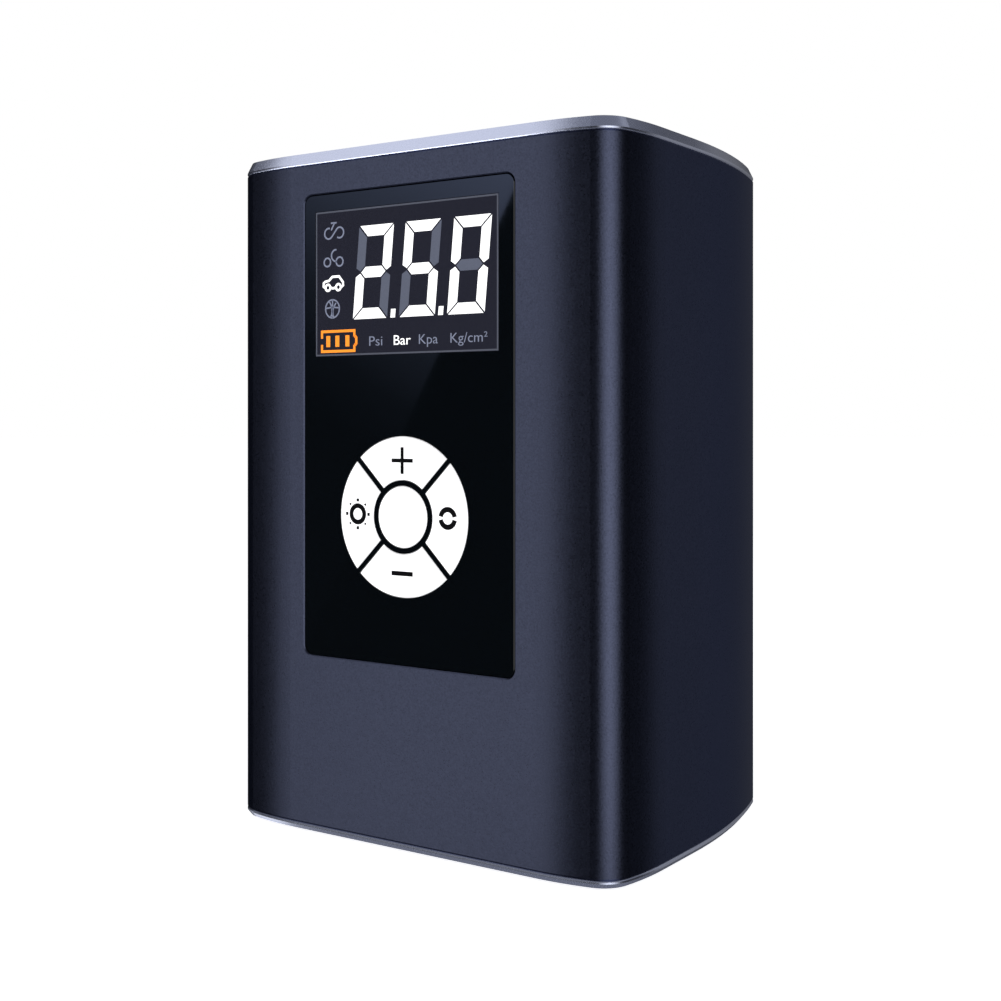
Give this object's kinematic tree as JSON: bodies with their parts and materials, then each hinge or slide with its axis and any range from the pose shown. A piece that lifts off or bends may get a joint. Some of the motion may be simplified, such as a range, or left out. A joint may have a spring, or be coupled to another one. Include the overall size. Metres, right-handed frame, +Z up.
{
  "type": "cordless tyre inflator",
  "caption": "Handheld cordless tyre inflator: dark metal sleeve, pale rims, black front panel with a digit display and round keypad, hose outlet and lamp on top.",
  "frame": {"origin": "centre of the base, on the plane its rubber feet rest on", "axes": "+Z up along the sleeve, the front panel faces -Y, +X to the right seen from the front"},
  "size_m": [0.085, 0.065, 0.124],
  "materials": {
    "sleeve_anodised": "fine sandblasted, anodised dark blue-grey",
    "rim_metal": "satin anodised, lighter than the sleeve",
    "cover_black": "fine matt moulded texture",
    "panel_gloss": "polished acrylic, black-backed",
    "display_window": "smoked display filter",
    "key_white": "satin moulded",
    "rubber_black": "matt",
    "silicone_grey": "matt",
    "fastener_steel": "blackened zinc",
    "inner_plastic": "moulded ABS",
    "circuit_board": "solder mask",
    "lens_clear": "frosted polycarbonate",
    "reflector_chrome": "vacuum metallised",
    "nickel_shell": "nickel plated",
    "brass": "turned",
    "bronze": "sintered",
    "cell_sleeve": "shrink sleeve over a steel can, with a cell's mean density",
    "motor_steel": "drawn, zinc plated",
    "ferrite": "pressed ferrite",
    "copper": "enamelled wire",
    "nylon": "glass-filled nylon",
    "die_cast": "as cast",
    "spring_steel": "drawn wire"
  },
  "bodies": {
    "housing": {"sleeve": "sleeve_anodised", "top_cap": "rim_metal", "top_plate": "cover_black", "bottom_cap": "rim_metal", "feet": "rubber_black", "top_screws": "fastener_steel", "bottom_screws": "fastener_steel", "front_panel": "panel_gloss", "display_glass": "display_window", "display_module": "inner_plastic", "panel_carrier": "inner_plastic", "keypad_mat": "silicone_grey", "tact_switches": "inner_plastic", "display_pcb": "circuit_board", "lamp_lens": "lens_clear", "lamp_reflector": "reflector_chrome", "lamp_board": "circuit_board", "usb_socket": "nickel_shell", "outlet_socket": "brass", "outlet_washer": "rubber_black", "outlet_nut": "brass", "battery_cells": "cell_sleeve", "battery_tabs": "nickel_shell", "battery_holder": "inner_plastic", "main_pcb": "circuit_board", "motor_can": "motor_steel", "motor_end_bell": "inner_plastic", "motor_bushes": "bronze", "motor_magnets": "ferrite", "motor_brushes": "ferrite", "motor_saddle": "rubber_black", "crankcase": "die_cast", "crankcase_cover": "die_cast", "crankcase_screws": "fastener_steel", "crank_bushes": "bronze", "cylinder": "die_cast", "cylinder_head": "die_cast", "head_fitting": "brass", "valve_spring": "spring_steel", "pressure_hose": "rubber_black"},
    "crank": {"crank_shaft": "motor_steel", "crank_gear": "nylon", "crank_pin": "motor_steel"},
    "rotor": {"motor_shaft": "motor_steel", "armature_core": "motor_steel", "armature_windings": "copper", "commutator": "copper", "pinion": "motor_steel", "cooling_fan": "nylon"},
    "slide_block": {"yoke_block": "bronze"},
    "roller": {"guide_roller": "nylon"},
    "piston_rod": {"yoke": "die_cast", "piston": "die_cast", "piston_seal": "rubber_black"},
    "valve": {"outlet_valve": "bronze"},
    "plus_key": {"key_plus": "key_white"},
    "minus_key": {"key_minus": "key_white"},
    "light_key": {"key_light": "key_white"},
    "mode_key": {"key_mode": "key_white"},
    "start_key": {"key_start": "key_white"}
  },
  "joints": [
    {"name": "crank_spin", "type": "hinge", "parent": "housing", "child": "crank", "pos_m": [0.0159, 0, 0.0384], "axis": [1, 0, 0], "continuous": true},
    {"name": "rotor_spin", "type": "hinge", "parent": "housing", "child": "rotor", "pos_m": [0, 0, 0.0195], "axis": [1, 0, 0], "continuous": true},
    {"name": "block_turn", "type": "hinge", "parent": "crank", "child": "slide_block", "pos_m": [0.0159, 0, 0.0429], "axis": [1, 0, 0], "continuous": true},
    {"name": "roller_turn", "type": "hinge", "parent": "crank", "child": "roller", "pos_m": [0.0159, 0, 0.04065], "axis": [1, 0, 0], "continuous": true},
    {"name": "rod_turn", "type": "hinge", "parent": "roller", "child": "piston_rod", "pos_m": [0.0159, 0, 0.0429], "axis": [1, 0, 0], "continuous": true},
    {"name": "valve_lift", "type": "slide", "parent": "housing", "child": "valve", "axis": [0, 0, 1], "range_m": [0, 0.0006], "deforming": ["valve_spring"]},
    {"name": "plus_key_press", "type": "slide", "parent": "housing", "child": "plus_key", "axis": [0, 1, 0], "range_m": [0, 0.0005]},
    {"name": "minus_key_press", "type": "slide", "parent": "housing", "child": "minus_key", "axis": [0, 1, 0], "range_m": [0, 0.0005]},
    {"name": "light_key_press", "type": "slide", "parent": "housing", "child": "light_key", "axis": [0, 1, 0], "range_m": [0, 0.0005]},
    {"name": "mode_key_press", "type": "slide", "parent": "housing", "child": "mode_key", "axis": [0, 1, 0], "range_m": [0, 0.0005]},
    {"name": "start_key_press", "type": "slide", "parent": "housing", "child": "start_key", "axis": [0, 1, 0], "range_m": [0, 0.0005]}
  ],
  "couplings": [
    {"joint": "rotor_spin", "follows": "crank_spin", "ratio": -3.5},
    {"joint": "block_turn", "follows": "crank_spin", "ratio": -1},
    {"joint": "roller_turn", "follows": "crank_spin", "ratio": -2},
    {"joint": "rod_turn", "follows": "crank_spin", "ratio": 1}
  ]
}
